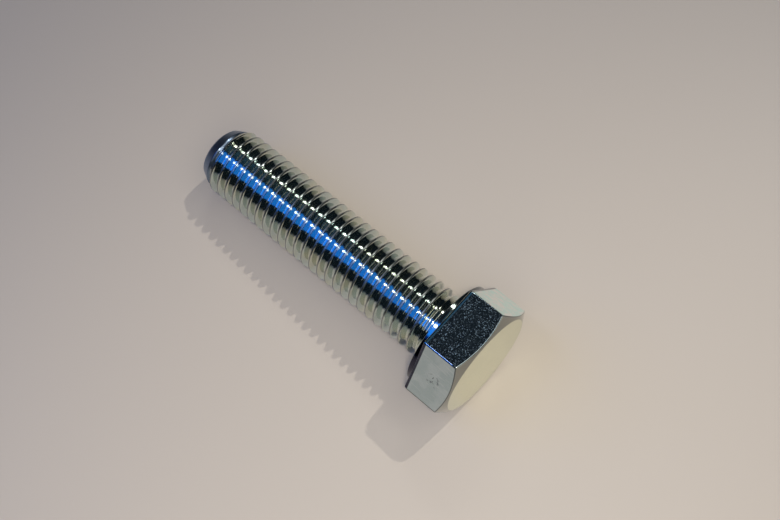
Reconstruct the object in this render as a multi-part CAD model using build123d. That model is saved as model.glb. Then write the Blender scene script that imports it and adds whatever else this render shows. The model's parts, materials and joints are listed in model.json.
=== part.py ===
from build123d import *
import math
import os

# Hex head screw M12 x 50, threaded to the head, lying as it rests on a flat surface.
# It is built upright: bearing face at z = 0, head above it, thread below it.
# All sizes are in millimetres and all angles in degrees.

# Thread
nominal_diameter = 12.0
pitch = 1.75
crest_shortfall = 0.075      # how far a plated screw's crests stay inside the nominal size
flank_angle = 30.0           # each flank from the plane across the screw
crest_share = 1 / 8          # of the pitch: the flat at the nominal diameter
root_share = 1 / 5           # of the pitch: the flat at the root
thread_clocking = -173.0     # where the helix starts, turned about the screw's axis
facets_per_turn = 24         # the helix is laid out in straight facets to keep it light

# Shank
length = 50.0                # bearing face to point
point_inset = 0.48           # from the thread's root in to the flat end of the point
point_length = 2.9           # from the end up to the first full crest
point_plain = 1.9            # the part of the point's cone that carries no groove
neck_length = 0.6            # plain blank between the thread and the head
runout_length = 1.9          # over which the thread fades into the neck
neck_fillet = 0.5

# Head
across_flats = 18.8
head_height = 8.1            # from the bearing face, washer face included
crown_margin = 0.45          # from a flat in to the disc on top of the head
crown_angle = 29.0           # chamfer down from the disc, from the plane across the screw
crown_rounding = 0.5
edge_rounding = 0.25         # along the six upright edges
washer_margin = 0.2          # from a flat in to the edge of the washer face
washer_height = 0.8          # a raised disc that stands out from under the flats
foot_height = 0.55           # where a flat starts to lean in, above the washer face
foot_lean = 9.0

# Construction
overshoot = 0.5              # how far a cutting shape runs past what it cuts
arc_chords = 3               # a turned rounding is laid out in chords to keep it light
sides = 6
quarter_turn = 90.0

# The thread's flanks would meet in sharp edges one sharp_depth apart without their flats.
flank_slope = math.tan(math.radians(flank_angle))
sharp_depth = pitch / 2 / flank_slope
crest_radius = nominal_diameter / 2 - crest_shortfall
root_radius = nominal_diameter / 2 - sharp_depth * (1 - crest_share - root_share)
neck_radius = nominal_diameter / 2 - sharp_depth * (1 / 2 - crest_share)
crest_width = pitch * crest_share + 2 * crest_shortfall * flank_slope
point_radius = root_radius - point_inset
point_slope = (crest_radius - point_radius) / point_length

flat_radius = across_flats / 2
corner_radius = flat_radius / math.cos(math.pi / sides)
crown_radius = flat_radius - crown_margin
washer_radius = flat_radius - washer_margin
crown_slope = math.tan(math.radians(crown_angle))


def thread_profile():
    """One pitch of the thread as (radius, height) points, from one crest to the next."""
    flank_height = (crest_radius - root_radius) * flank_slope
    return [
        (crest_radius, 0),
        (crest_radius, crest_width),
        (root_radius, crest_width + flank_height),
        (root_radius, pitch - flank_height),
        (crest_radius, pitch),
    ]


def on_helix(radius, height, step):
    """The point of a right-hand helix after a number of facets."""
    turn = 2 * math.pi * step / facets_per_turn
    climb = pitch * step / facets_per_turn
    return Vector(radius * math.cos(turn), radius * math.sin(turn), height + climb)


def facet(low, high, step):
    """One ruled facet between two helices, each given as (radius, height)."""
    edges = [Edge.make_line(on_helix(*end, step), on_helix(*end, step + 1)) for end in (low, high)]
    return Face.make_surface_from_curves(*edges)


def end_cap(height):
    """The half section and the ramp of one pitch that close the thread at either end."""
    outline = [(0, 0), *thread_profile(), (0, pitch)]
    section = Face(Wire.make_polygon([(radius, 0, height + up) for radius, up in outline]))
    ramp = [facet((0, height), (crest_radius, height), step) for step in range(facets_per_turn)]
    return [section, *ramp]


def threaded_rod():
    """A rod of thread that runs past the point and into the head."""
    pitches_below = math.ceil(length / pitch) + 1
    turns = pitches_below + 1
    bottom = -pitches_below * pitch
    profile = [(radius, bottom + up) for radius, up in thread_profile()]
    faces = end_cap(bottom) + end_cap(bottom + turns * pitch)
    for step in range(turns * facets_per_turn):
        faces += [facet(low, high, step) for low, high in zip(profile, profile[1:])]
    return Rot(0, 0, thread_clocking) * Solid(Shell(faces))


def turned(outline):
    """A solid of revolution about the screw's axis from (radius, height) points."""
    return revolve(Plane.XZ * make_face(Polyline(*outline, close=True)), Axis.Z)


def arc(centre_radius, centre_height, radius, start, end):
    """A rounding of a turned outline, laid out in chords between two angles."""
    angles = [math.radians(start + (end - start) * chord / arc_chords) for chord in range(arc_chords + 1)]
    return [(centre_radius + radius * math.cos(at), centre_height + radius * math.sin(at)) for at in angles]


def shank_limits():
    """What the thread keeps within: the point's cone, and a cone that ends it at the neck."""
    wide = crest_radius + overshoot
    fade = (crest_radius - root_radius) / runout_length
    fade_start = -neck_length - runout_length
    return turned([
        (0, -length),
        (point_radius, -length),
        (wide, -length + (wide - point_radius) / point_slope),
        (wide, fade_start - overshoot / fade),
        (root_radius, -neck_length),
        (root_radius, 0),
        (0, 0),
    ])


def point_core():
    """The plain end of the point, where the thread's groove has run out."""
    plain_radius = point_radius + point_plain * point_slope
    return turned([
        (0, -length),
        (point_radius, -length),
        (plain_radius, -length + point_plain),
        (0, -length + point_plain + plain_radius),
    ])


def collar():
    """The plain neck, with the cone that the thread's root rises on, and the washer face."""
    fade = (neck_radius - root_radius) / runout_length
    cone_start = -neck_length - runout_length - overshoot / fade
    fillet_curve = arc(neck_radius + neck_fillet, -neck_fillet, neck_fillet, 2 * quarter_turn, quarter_turn)
    return turned([
        (0, cone_start),
        (root_radius - overshoot, cone_start),
        (neck_radius, -neck_length),
        *fillet_curve,
        (washer_radius, 0),
        (washer_radius, washer_height),
        (0, washer_height),
    ])


def crown():
    """What the head keeps within: the disc on top, rounded into the chamfer around it."""
    wide = corner_radius + overshoot
    tangent = crown_rounding * math.tan(math.radians(crown_angle / 2))
    rounding_centre = (crown_radius - tangent, head_height - crown_rounding)
    return turned([
        (0, 0),
        (wide, 0),
        (wide, head_height - (wide - crown_radius) * crown_slope),
        *arc(*rounding_centre, crown_rounding, quarter_turn - crown_angle, quarter_turn),
        (0, head_height),
    ])


def hexagon(radius):
    """The head's outline with its flats at a distance from the screw's axis."""
    return RegularPolygon(radius, sides, major_radius=False, rotation=180 / sides)


def head():
    """The hexagon with its crown. Its flats lean in over the foot, towards the bearing face."""
    foot_inset = foot_height * math.tan(math.radians(foot_lean))
    prism = extrude(hexagon(flat_radius), head_height)
    prism = fillet(prism.edges().filter_by(Axis.Z), edge_rounding)
    funnel = extrude(hexagon(flat_radius - foot_inset), head_height, taper=-foot_lean)
    return Pos(0, 0, washer_height) * (prism & funnel) & crown()


def upright_screw():
    """The whole screw as one solid, standing on its point."""
    return (threaded_rod() & shank_limits()) + point_core() + collar() + head()


def laid_down(screw):
    """The screw lies on its first full crest and on the foot of the flat below it."""
    reach = length - point_length + washer_height + foot_height
    tilt = math.degrees(math.atan((flat_radius - crest_radius) / reach))
    lying = Rot(0, quarter_turn - tilt, 0) * screw
    box = lying.bounding_box()
    return Pos(-box.center().X, -box.center().Y, -box.min.Z) * lying


os.makedirs("parts", exist_ok=True)
export_step(laid_down(upright_screw()), "parts/hex_head_screw.step")
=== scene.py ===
import bpy
import bmesh
import json
import math
import numpy as np
from mathutils import Matrix, Vector


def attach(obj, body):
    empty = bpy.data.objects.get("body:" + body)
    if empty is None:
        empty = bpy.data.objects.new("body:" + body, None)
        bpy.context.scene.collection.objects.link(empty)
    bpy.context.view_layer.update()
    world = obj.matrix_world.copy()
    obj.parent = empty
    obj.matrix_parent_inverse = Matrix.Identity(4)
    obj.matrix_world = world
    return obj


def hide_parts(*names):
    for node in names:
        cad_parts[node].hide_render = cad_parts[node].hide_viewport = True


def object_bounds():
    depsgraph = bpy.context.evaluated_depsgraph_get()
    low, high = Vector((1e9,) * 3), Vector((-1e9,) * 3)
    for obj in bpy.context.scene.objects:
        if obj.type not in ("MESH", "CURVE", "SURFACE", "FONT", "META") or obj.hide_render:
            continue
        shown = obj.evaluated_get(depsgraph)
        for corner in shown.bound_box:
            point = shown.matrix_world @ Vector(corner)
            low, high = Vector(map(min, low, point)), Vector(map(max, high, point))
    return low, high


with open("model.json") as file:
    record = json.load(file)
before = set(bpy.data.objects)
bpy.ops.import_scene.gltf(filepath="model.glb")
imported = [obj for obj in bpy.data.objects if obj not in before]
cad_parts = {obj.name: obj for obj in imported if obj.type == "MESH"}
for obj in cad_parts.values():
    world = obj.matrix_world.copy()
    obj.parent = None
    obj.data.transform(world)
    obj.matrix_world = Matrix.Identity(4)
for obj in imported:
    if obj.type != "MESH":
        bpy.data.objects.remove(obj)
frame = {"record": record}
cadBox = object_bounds()
mm = 0.001
mounts = {mount["name"]: mount for mount in frame["record"]["mounts"]}
print("frame loaded")


# ---- the screw: one piece, from the point to the top of the head

screw = {
    "nominalDiameter": 12.0,      # mm, as all the sizes here
    "pitch": 1.75,
    "crestShortfall": 0.075,
    "crestShare": 1 / 8,
    "rootShare": 1 / 5,
    "crestRounding": 0.015,
    "crestLine": 0.55,            # share of the crest that the dull line covers
    "rootRounding": 0.04,
    "clocking": -173.0,           # degrees, where the helix starts
    "length": 50.0,
    "pointRadius": 4.497,
    "pointLength": 2.9,
    "pointPlain": 1.9,
    "pointRounding": 0.3,
    "pointDrawnIn": 0.7,          # share of that rounding by which the end is smaller than its cone
    "dullShadedPastPoint": 0.5,         # how far the dull finish and its painted dark shade run on from the plain cone
    "neckLength": 0.6,
    "runoutLength": 1.9,
    "neckFillet": 0.5,
    "washerMargin": 0.2,
    "washerHeight": 0.8,
    "washerRounding": 0.15,
    "acrossFlats": 18.8,
    "headHeight": 8.1,
    "footHeight": 0.55,
    "footLean": 9.0,
    "footRounding": 0.22,
    "crownMargin": 0.45,
    "crownAngle": 29.0,
    "crownEdgeRounding": 0.16,
    "discRounding": 0.5,
    "uprightRounding": 0.32,
    "columns": 120,               # around the axis, a multiple of twelve
    "footShade": (0.5, 0.5, 0.7, 0.0, 1.0, 0.5),    # of the dark foot, flat by flat
    # the flat that is painted brighter, a painted sheen standing for the lit floor it reflects
    "sheenFlat": 2,
    "speckledFlat": 3,
    "speckElsewhere": 0.2,
}


def unit(vectors):
    return vectors / np.linalg.norm(vectors, axis=-1, keepdims=True)


# A run of corners with every inner one rounded. The centre of an arc lies on the bisector, at radius divided by
# the sine of half the corner's angle, and the arc turns evenly from one tangent point to the other.
# corners is (corner, column, 2), and so is the answer, with more rows.
def roundedOutline(corners, radii, arcSteps, runSteps):
    rows = [corners[:1]]
    last = corners[0]
    for i in range(1, len(corners) - 1):
        back = unit(corners[i - 1] - corners[i])
        ahead = unit(corners[i + 1] - corners[i])
        half = np.arccos(np.clip((back * ahead).sum(-1), -1, 1))[:, None] / 2
        start = corners[i] + back * radii[i - 1] / np.tan(half)
        stop = corners[i] + ahead * radii[i - 1] / np.tan(half)
        centre = corners[i] + unit(back + ahead) * radii[i - 1] / np.sin(half)
        run = np.linspace(0, 1, runSteps[i - 1] + 1)[1:, None, None]
        rows.append(last + (start - last) * run)
        sweep = np.pi - 2 * half
        turn = np.linspace(0, 1, arcSteps[i - 1] + 1)[1:, None, None]
        swung = np.sin((1 - turn) * sweep) * (start - centre) + np.sin(turn * sweep) * (stop - centre)
        rows.append(centre + swung / np.sin(sweep))
        last = stop
    run = np.linspace(0, 1, runSteps[-1] + 1)[1:, None, None]
    rows.append(last + (corners[-1] - last) * run)
    return np.concatenate(rows)


# Quads of a closed band of rows and columns. Across the seam, row r joins row r + shift.
def bandFaces(rows, columns, firstVertex, shift=0):
    row, column = np.meshgrid(np.arange(rows - 1), np.arange(columns), indexing="ij")
    seam = column == columns - 1
    nextRow = np.where(seam, row + shift, row)
    nextColumn = np.where(seam, 0, column + 1)
    quads = np.stack([row * columns + column, nextRow * columns + nextColumn,
                      (nextRow + 1) * columns + nextColumn, (row + 1) * columns + column], axis=-1)
    return quads[nextRow + 1 < rows].reshape(-1, 4) + firstVertex


# Points from radius, turn and height about the screw's own axis.
def aroundAxis(radius, turn, height):
    return np.stack([radius * np.cos(turn), radius * np.sin(turn), height], axis=-1)


# Thread: at height z the profile is shifted up by pitch * turn / 360. The radius is the profile's,
# held inside the cones of the point and the run-out, and outside the plain core.
def threadBand(turns):
    s = screw
    flankSlope = math.tan(math.radians(30))
    sharp = s["pitch"] / 2 / flankSlope
    nominal = s["nominalDiameter"] / 2
    crest = nominal - s["crestShortfall"]
    root = nominal - sharp * (1 - s["crestShare"] - s["rootShare"])
    neck = nominal - sharp * (1 / 2 - s["crestShare"])
    width = s["pitch"] * s["crestShare"] + 2 * s["crestShortfall"] * flankSlope
    rise = (crest - root) * flankSlope
    corners = np.array([(width / 2, crest), (width, crest), (width + rise, root),
                        (s["pitch"] - rise, root), (s["pitch"], crest), (s["pitch"] + width / 2, crest)])[:, None]
    profile = roundedOutline(corners, [s["crestRounding"], s["rootRounding"], s["rootRounding"], s["crestRounding"]],
                             [2, 3, 3, 2], [1, 4, 1, 4, 1])[:-1, 0]
    pitches = math.ceil(s["length"] / s["pitch"]) + 3
    up = (np.arange(pitches)[:, None] - pitches + 1) * s["pitch"] + profile[None, :, 0]
    radius = np.repeat(profile[None, :, 1], pitches, 0)
    climb = s["pitch"] * (turns - math.radians(s["clocking"])) / (2 * np.pi)
    height = up.reshape(-1, 1) + climb
    height = np.clip(height, -s["length"], -s["neckLength"])
    fromEnd = height + s["length"]
    slope = (crest - s["pointRadius"]) / s["pointLength"]
    cone = s["pointRadius"] + slope * fromEnd
    drawnIn = s["pointDrawnIn"] * s["pointRounding"]
    cone = cone - drawnIn * np.clip(1 - fromEnd / s["pointRounding"], 0, 1) ** 2
    fade = np.clip((height + s["neckLength"]) / -s["runoutLength"], 0, 1)
    plain = s["pointRadius"] + slope * s["pointPlain"]
    outer = np.minimum(cone, np.where(fade < 1, root + (crest - root) * fade, np.inf))
    core = np.where(fade < 1, neck + (root - neck) * fade, np.minimum(cone, plain - (fromEnd - s["pointPlain"])))
    radius = np.maximum(np.minimum(radius.reshape(-1, 1), outer), core)
    onLine = (up % s["pitch"] < s["crestLine"] * width).reshape(-1, 1)
    zones = {
        "crest": onLine & (radius > crest - 0.001),
        # rougher finish and painted dark shade on the point
        "point": fromEnd < s["pointPlain"] + s["dullShadedPastPoint"],
    }
    return aroundAxis(radius, turns + 0 * height, height), zones, len(profile), neck


# The head's outline: distance from the axis to a hexagon whose corners are rounded by an arc,
# for angles measured from the nearest corner.
def hexagonRadius(flat, fromCorner, rounding):
    reach = (flat - rounding) / math.cos(math.pi / 6)
    straight = flat / np.cos(math.pi / 6 - np.abs(fromCorner))
    arc = reach * np.cos(fromCorner) + np.sqrt(np.maximum(rounding ** 2 - (reach * np.sin(fromCorner)) ** 2, 0))
    tangent = math.pi / 6 - np.arctan((flat - rounding) * math.tan(math.pi / 6) / flat)
    return np.where(np.abs(fromCorner) < tangent, arc, straight)


# Turns that crowd together at the six corners, so that their roundings have columns of their own.
def cornerTurns():
    s = screw
    flat = s["acrossFlats"] / 2
    tangent = math.pi / 6 - math.atan((flat - s["uprightRounding"]) * math.tan(math.pi / 6) / flat)
    side = s["columns"] // 12
    near = np.linspace(0, tangent, 4)[1:]
    far = np.linspace(tangent + math.radians(0.5), math.pi / 6, side - 3)
    half = np.concatenate([near, far])
    fromCorner = np.concatenate([-half[-2::-1], [0], half])
    corner = np.radians(30 + 60 * np.arange(6))
    return (corner[:, None] + fromCorner[None]).reshape(-1), np.tile(fromCorner, 6)


# Head: a round outline from the neck over the washer face, then one that goes from round at the foot to the
# rounded hexagon, in along the crown's cone to the disc, and closes on the axis. In every column the height of
# the cone is the disc's height less the distance outside the disc times the cone's slope.
def headBands(turns, neck):
    s = screw
    flat = s["acrossFlats"] / 2
    washer = flat - s["washerMargin"]
    disc = flat - s["crownMargin"]
    top = s["headHeight"]
    level = s["washerHeight"]
    columns = s["columns"]
    collar = np.array([(neck, -s["neckLength"]), (neck, 0), (washer, 0), (washer, level), (washer + 0.05, level)])
    collar = np.repeat(collar[:, None], columns, 1)
    collar = roundedOutline(collar, [s["neckFillet"], s["washerRounding"], 0.03], [6, 4, 2], [2, 3, 2, 1])
    headTurns, fromCorner = cornerTurns()
    footInset = s["footHeight"] * math.tan(math.radians(s["footLean"]))
    around = hexagonRadius(flat, fromCorner, s["uprightRounding"])
    foot = hexagonRadius(flat - footInset, fromCorner, s["uprightRounding"])
    slope = math.tan(math.radians(s["crownAngle"]))
    zero = 0 * around
    corners = np.array([(zero + washer + 0.07, zero + level), (foot, zero + level),
                        (around, zero + level + s["footHeight"]), (around, top - (around - disc) * slope),
                        (zero + disc, zero + top), (zero, zero + top)]).transpose(0, 2, 1)
    outline = roundedOutline(corners, [s["footRounding"], 0.5, s["crownEdgeRounding"], s["discRounding"]],
                             [4, 2, 4, 4], [2, 2, 8, 4, 6])
    under = aroundAxis(collar[..., 0], turns[None] + 0 * collar[..., 0], collar[..., 1])
    over = aroundAxis(outline[..., 0], headTurns[None] + 0 * outline[..., 0], outline[..., 1])
    # plating zones, by the row of the outline above and by the flat that a column lies on
    rows = np.arange(len(collar) + len(outline))[:, None] - len(collar)
    footRows, speckRows, sideRows, bowRows, chamferRows = (-7, 10), (8, 21), (9, 20), (19, 23), (23, 28)
    uprightRows, firstSpeck, discEdge, discRows = (9, 23), 3, 28, 8

    def between(limits):
        return (rows >= limits[0]) & (rows < limits[1])

    flatNumber = (np.round(np.degrees(headTurns) / 60) % 6).astype(int)
    speckled, onSheenFlat = flatNumber == s["speckledFlat"], flatNumber == s["sheenFlat"]
    onUpright = (np.abs(fromCorner) <= math.radians(1.3)) & (np.abs(np.degrees(headTurns) - 180) > 40)
    everyColumn = np.ones((1, columns))
    zones = {
        "foot": between(footRows) * np.array(s["footShade"])[flatNumber],
        "disc": (rows >= len(outline) - discRows) * everyColumn,
        "specks": np.where(between(speckRows) & speckled, 1.0, s["speckElsewhere"]) * (rows >= firstSpeck),
        "edge": between(uprightRows) & onUpright | between(bowRows) & ~speckled | (rows == discEdge),
        "chamfer": between(chamferRows) * everyColumn,
        # the sides of one flat take a painted sheen, the sides of the other flats the cool tint
        "cool": between(sideRows) & ~onSheenFlat,
        "passivationAndSheen": between(sideRows) & onSheenFlat,
    }
    return np.concatenate([under, over]), zones


# The flat end: circles of even steps in radius, from the axis to the rim.
def pointDisc(turns):
    s = screw
    rim = s["pointRadius"] - s["pointDrawnIn"] * s["pointRounding"]
    radius = np.linspace(0, rim, 5)[:, None] + 0 * turns[None]
    return aroundAxis(radius, turns[None] + 0 * radius, -s["length"] + 0 * radius)


# The three bands in one mesh, turned from the screw's own axis on to the axes that the mounts give.
def buildScrew():
    s = screw
    columns = s["columns"]
    turns = np.linspace(0, 2 * np.pi, columns, endpoint=False)
    thread, threadZones, perPitch, neck = threadBand(turns)
    head, headZones = headBands(turns, neck)
    disc = pointDisc(turns)
    bands = [(disc, 0), (thread, perPitch), (head, 0)]
    points, faces, start = [], [], 0
    for band, shift in bands:
        faces.append(bandFaces(len(band), columns, start, shift))
        points.append(band.reshape(-1, 3))
        start += band.shape[0] * columns
    points = np.concatenate(points) * mm
    faces = np.concatenate(faces)

    up = np.array(mounts["wrench_flat"]["axis"])
    along = np.array(mounts["head_top"]["axis"])
    across = np.cross(along, -up)
    bearing = np.array(mounts["head_top"]["pos_m"]) - along * s["headHeight"] * mm
    points = bearing + points @ np.stack([-up, across, along])

    mesh = bpy.data.meshes.new("screwSurface")
    mesh.from_pydata(points, [], faces)
    for zones, first in ((threadZones, disc.shape[0] * columns), (headZones, start - head.shape[0] * columns)):
        for name, zone in zones.items():
            values = np.zeros(start)
            values[first:first + zone.size] = zone.reshape(-1)
            mesh.attributes.new(name, "FLOAT", "POINT").data.foreach_set("value", values)
    build = bmesh.new()
    build.from_mesh(mesh)
    bmesh.ops.remove_doubles(build, verts=build.verts, dist=2e-8)
    bmesh.ops.recalc_face_normals(build, faces=build.faces)
    loose = sum(1 for edge in build.edges if not edge.is_manifold)
    build.to_mesh(mesh)
    build.free()
    mesh.polygons.foreach_set("use_smooth", np.ones(len(mesh.polygons), bool))
    piece = bpy.data.objects.new("threadedHexScrew", mesh)
    bpy.context.collection.objects.link(piece)
    weighted = piece.modifiers.new("weightedNormals", "WEIGHTED_NORMAL")
    weighted.weight = 80
    print("screw surface:", len(mesh.polygons), "faces,", loose, "open edges")
    return piece


# ---- plated steel

plating = {
    "tint": (0.56, 0.64, 0.61),
    "tintYellow": (0.60, 0.63, 0.54),
    "coolTint": (0.50, 0.61, 0.64),
    "coolPale": (0.57, 0.67, 0.71),
    "scratchTint": (0.82, 0.88, 0.90),
    "scratchTurn": 35,            # degrees
    "scratchDepth": 0.3,
    "scratchStretch": 0.06,
    "dingTint": (0.20, 0.23, 0.26),
    "dingReach": 1.5,             # mm
    "dingPlace": 0.42,            # share of the head's height, from its top
    "discTint": (0.74, 0.77, 0.62),
    "footTint": (0.05, 0.05, 0.075),
    "edgeTint": (0.16, 0.17, 0.17),
    "crestTint": (0.33, 0.34, 0.32),
    # painted shade on the point, standing for its dark reflection
    "pointShadeTint": (0.19, 0.25, 0.34),
    "chamferTint": (0.37, 0.375, 0.34),
    # painted sheen of one flat, mottled mint and pink like passivation
    "sheenMintTint": (0.70, 1.0, 0.96),
    "sheenPinkTint": (0.94, 0.97, 0.94),
    "speckTint": (0.33, 0.49, 0.62),
    "roughness": 0.1,
    "speckRoughness": 0.34,
    "pointRoughness": 0.3,
    "crestRoughness": 0.35,
    "speckSize": 0.22,            # mm, as the sizes below
    "yellowSize": 5.0,
    "paleSize": 2.2,
    "scratchSize": 0.2,
    "passivationPatchSize": 1.3,
    "dingSize": 0.55,
    "patchSize": 1.6,
    "rippleSize": 0.5,
    "ripple": 0.0003,
}


# One tint over the next, zone by zone, then the dings and the specks.
def platedSteel():
    p = plating
    material = bpy.data.materials.new("zincPlatedSteel")
    material.use_nodes = True
    nodes, links = material.node_tree.nodes, material.node_tree.links
    shader = nodes["Principled BSDF"]
    shader.inputs["Metallic"].default_value = 1.0
    place = nodes.new("ShaderNodeTexCoord")

    def noise(size, detail, roughness=0.5, vector=place.outputs["Object"]):
        node = nodes.new("ShaderNodeTexNoise")
        node.inputs["Scale"].default_value = 1 / (size * mm)
        node.inputs["Detail"].default_value = detail
        node.inputs["Roughness"].default_value = roughness
        links.new(vector, node.inputs["Vector"])
        return node.outputs["Fac"]

    def ramp(value, low, high, fromValue, toValue):
        node = nodes.new("ShaderNodeMapRange")
        node.interpolation_type = "SMOOTHSTEP"
        for socket, number in (("From Min", low), ("From Max", high), ("To Min", fromValue), ("To Max", toValue)):
            node.inputs[socket].default_value = number
        links.new(value, node.inputs["Value"])
        return node.outputs["Result"]

    def combine(operation, first, second):
        node = nodes.new("ShaderNodeMath")
        node.operation = operation
        for socket, value in zip(node.inputs, (first, second)):
            if isinstance(value, (int, float)):
                socket.default_value = value
            else:
                links.new(value, socket)
        return node.outputs["Value"]

    def mixColour(factor, first, second):
        node = nodes.new("ShaderNodeMix")
        node.data_type = "RGBA"
        links.new(factor, node.inputs["Factor"])
        for socket, colour in ((node.inputs[6], first), (node.inputs[7], second)):      # the colour pair of a Mix
            if isinstance(colour, tuple):
                socket.default_value = (*colour, 1)
            else:
                links.new(colour, socket)
        return node.outputs[2]

    def zone(name):
        node = nodes.new("ShaderNodeAttribute")
        node.attribute_name = name
        return node.outputs["Fac"]

    tint = mixColour(ramp(noise(p["yellowSize"], 2), 0.4, 0.62, 0, 1), p["tint"], p["tintYellow"])
    cool = mixColour(ramp(noise(p["paleSize"], 3), 0.38, 0.62, 0, 1), p["coolTint"], p["coolPale"])
    # faint scratches on the flats, drawn out askew of the screw
    stretch = nodes.new("ShaderNodeMapping")
    stretch.inputs["Rotation"].default_value = (0, 0, math.radians(p["scratchTurn"]))
    stretch.inputs["Scale"].default_value = (p["scratchStretch"], 1, 1)
    links.new(place.outputs["Object"], stretch.inputs["Vector"])
    scratches = ramp(noise(p["scratchSize"], 1, vector=stretch.outputs["Vector"]), 0.6, 0.7, 0, p["scratchDepth"])
    tint = mixColour(zone("cool"), tint, mixColour(scratches, cool, p["scratchTint"]))
    tint = mixColour(zone("disc"), tint, p["discTint"])
    tint = mixColour(zone("foot"), tint, p["footTint"])
    tint = mixColour(zone("edge"), tint, p["edgeTint"])
    tint = mixColour(zone("crest"), tint, p["crestTint"])
    # painted shade: the point and the facet past it are darkened and blued, standing for a dark reflection there
    tint = mixColour(zone("point"), tint, p["pointShadeTint"])
    tint = mixColour(zone("chamfer"), tint, p["chamferTint"])
    # painted sheen: one flat is painted brighter, standing for the lit floor it reflects, with mint and pink
    # passivation patches
    passivationAndSheen = mixColour(ramp(noise(p["passivationPatchSize"], 3, 0.6), 0.42, 0.6, 0, 1), p["sheenMintTint"], p["sheenPinkTint"])
    tint = mixColour(zone("passivationAndSheen"), tint, passivationAndSheen)
    # a few dings round the middle of one flat
    up = Vector(mounts["wrench_flat"]["axis"])
    along = Vector(mounts["head_top"]["axis"])
    outwards = up * math.cos(math.pi / 3) + up.cross(along) * -math.sin(math.pi / 3)
    middle = outwards * screw["acrossFlats"] / 2 - along * screw["headHeight"] * p["dingPlace"]
    middle = Vector(mounts["head_top"]["pos_m"]) + middle * mm
    reach = nodes.new("ShaderNodeVectorMath")
    reach.operation = "DISTANCE"
    reach.inputs[1].default_value = middle
    links.new(place.outputs["Object"], reach.inputs[0])
    near = ramp(reach.outputs["Value"], p["dingReach"] * mm / 2, p["dingReach"] * mm, 1, 0)
    dings = combine("MULTIPLY", ramp(noise(p["dingSize"], 2), 0.54, 0.6, 0, 1), near)
    tint = mixColour(dings, tint, p["dingTint"])
    # fine specks of dull plating, on the head only, thicker in some patches than in others
    patches = ramp(noise(p["patchSize"], 2), 0.3, 0.7, 0.65, 1.0)
    specks = combine("MULTIPLY", ramp(noise(p["speckSize"], 3, 0.7), 0.435, 0.71, 0, 1), patches)
    specks = combine("MULTIPLY", specks, zone("specks"))
    links.new(mixColour(specks, tint, p["speckTint"]), shader.inputs["Base Color"])
    roughness = ramp(specks, 0, 1, p["roughness"], p["speckRoughness"])
    for part in ("point", "crest"):
        roughness = combine("MAXIMUM", roughness, combine("MULTIPLY", zone(part), p[part + "Roughness"]))
    links.new(roughness, shader.inputs["Roughness"])
    bump = nodes.new("ShaderNodeBump")
    bump.inputs["Distance"].default_value = p["ripple"] * mm
    links.new(noise(p["rippleSize"], 1), bump.inputs["Height"])
    links.new(bump.outputs["Normal"], shader.inputs["Normal"])
    return material


piece = buildScrew()
piece.data.materials.append(platedSteel())
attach(piece, "root")
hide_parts("hex_head_screw")


# ---- floor

floorLook = {
    "colour": (0.52, 0.46, 0.385),
    "roughness": 0.45,
    "size": 3.0,                  # m
}


def layFloor():
    half = floorLook["size"] / 2
    mesh = bpy.data.meshes.new("floorSurface")
    mesh.from_pydata([(-half, -half, 0), (half, -half, 0), (half, half, 0), (-half, half, 0)], [], [(0, 1, 2, 3)])
    floor = bpy.data.objects.new("floor", mesh)
    bpy.context.collection.objects.link(floor)
    floor.location.z = cadBox[0][2]
    material = bpy.data.materials.new("paleFloor")
    material.use_nodes = True
    shader = material.node_tree.nodes["Principled BSDF"]
    shader.inputs["Base Color"].default_value = (*floorLook["colour"], 1)
    shader.inputs["Roughness"].default_value = floorLook["roughness"]
    mesh.materials.append(material)
    print("floor laid")


layFloor()


# ---- light

lamps = {                         # turn and height in degrees seen from the screw, distance and size in m
    "key": {"turn": 84, "height": 54.5, "distance": 0.9, "size": (0.012, 0.012),
            "radiance": 4300.0, "colour": (1.0, 0.96, 0.9)},
    "soft": {"turn": -25, "height": 62, "distance": 0.215, "size": (0.13, 0.34),
             "radiance": 1.55, "colour": (1.0, 0.965, 0.91)},
    "pool": {"turn": -45, "height": 78, "distance": 0.6, "radius": 0.04, "cone": 28, "aim": (0.056, -0.040),
             "power": 7.3, "colour": (1.0, 0.955, 0.885)},
    "sky": {"turn": 215, "height": 47, "distance": 0.9, "size": (0.66, 0.6),
            "radiance": 1.45, "colour": (0.008, 0.215, 1.0)},
    "skyGlow": {"turn": 158, "height": 53, "distance": 0.9, "size": (0.13, 0.4),
                "radiance": 0.16, "colour": (0.2, 0.55, 1.0)},
    "bulb": {"turn": 213, "height": 63, "distance": 0.85, "size": (0.24, 0.065),
             "radiance": 6.5, "colour": (1, 1, 1)},
    "farBulb": {"turn": 125.1, "height": 45.2, "distance": 0.85, "size": (0.24, 0.08),
                "radiance": 7.5, "colour": (0.96, 1, 1)},
}
worldColour = (0.006, 0.010, 0.015)


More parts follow.
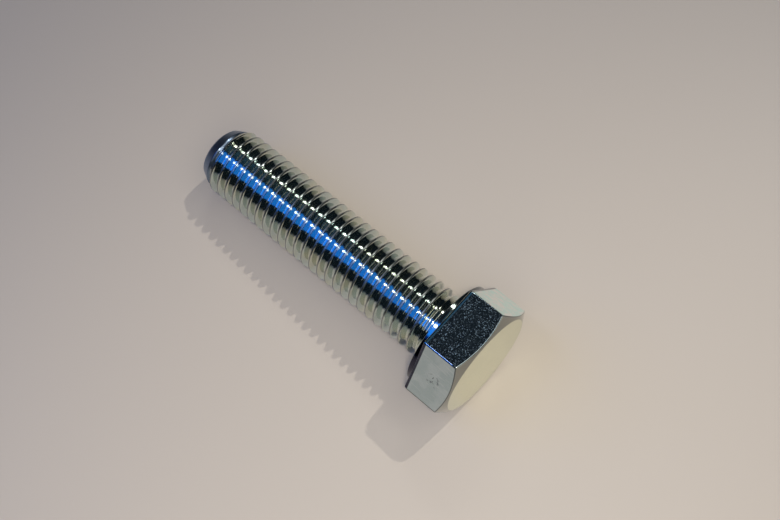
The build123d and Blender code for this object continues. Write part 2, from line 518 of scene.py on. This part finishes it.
# Every lamp faces the screw, with its first side along the screw and its second side across it. The one with a
# cone is a spot, which lights a pool of the floor and is aimed beside the screw.
def hangLamps():
    centre = Vector((0, 0, (cadBox[0][2] + cadBox[1][2]) / 2))
    along = Vector(mounts["head_top"]["axis"])
    for name, lamp in lamps.items():
        aim = centre + Vector((*lamp.get("aim", (0, 0)), 0))
        turn, height = math.radians(lamp["turn"]), math.radians(lamp["height"])
        away = Vector((math.cos(height) * math.cos(turn), math.cos(height) * math.sin(turn), math.sin(height)))
        side = (along - away * along.dot(away)).normalized()
        if "cone" in lamp:
            data = bpy.data.lights.new(name, "SPOT")
            data.spot_size = math.radians(lamp["cone"])
            data.spot_blend = 1
            data.shadow_soft_size = lamp["radius"]
            data.energy = lamp["power"]
        else:
            data = bpy.data.lights.new(name, "AREA")
            data.shape = "RECTANGLE"
            data.size, data.size_y = lamp["size"]
            # an area lamp of power W and area A has the radiance W / (pi * A)
            data.energy = lamp["radiance"] * math.pi * data.size * data.size_y
        data.color = lamp["colour"]
        light = bpy.data.objects.new(name, data)
        turned = Matrix((side, away.cross(side), away)).transposed().to_4x4()
        light.matrix_world = Matrix.Translation(aim + away * lamp["distance"]) @ turned
        bpy.context.collection.objects.link(light)
    world = bpy.data.worlds.new("room")
    world.use_nodes = True
    world.node_tree.nodes["Background"].inputs["Color"].default_value = (*worldColour, 1)
    bpy.context.scene.world = world
    print("lamps hung")


hangLamps()


# ---- camera

view = {
    "location": (0.053936, -0.042799, 0.193526),
    "right": (0.74607, 0.66531, -0.02727),
    "forward": (-0.24443, 0.23555, -0.94062),
    "lens": 56.4,                 # mm on a 36 mm sensor
}


def placeCamera():
    data = bpy.data.cameras.new("camera")
    data.lens = view["lens"]
    data.sensor_width = 36
    data.clip_start = 0.005
    camera = bpy.data.objects.new("camera", data)
    back = -Vector(view["forward"]).normalized()
    right = Vector(view["right"])
    right = (right - back * right.dot(back)).normalized()
    up = back.cross(right)
    turn = Matrix((right, up, back)).transposed()
    camera.matrix_world = Matrix.Translation(view["location"]) @ turn.to_4x4()
    bpy.context.collection.objects.link(camera)
    bpy.context.scene.camera = camera
    bpy.context.scene.view_settings.view_transform = "Standard"
    print("camera placed")


placeCamera()

bpy.context.view_layer.update()
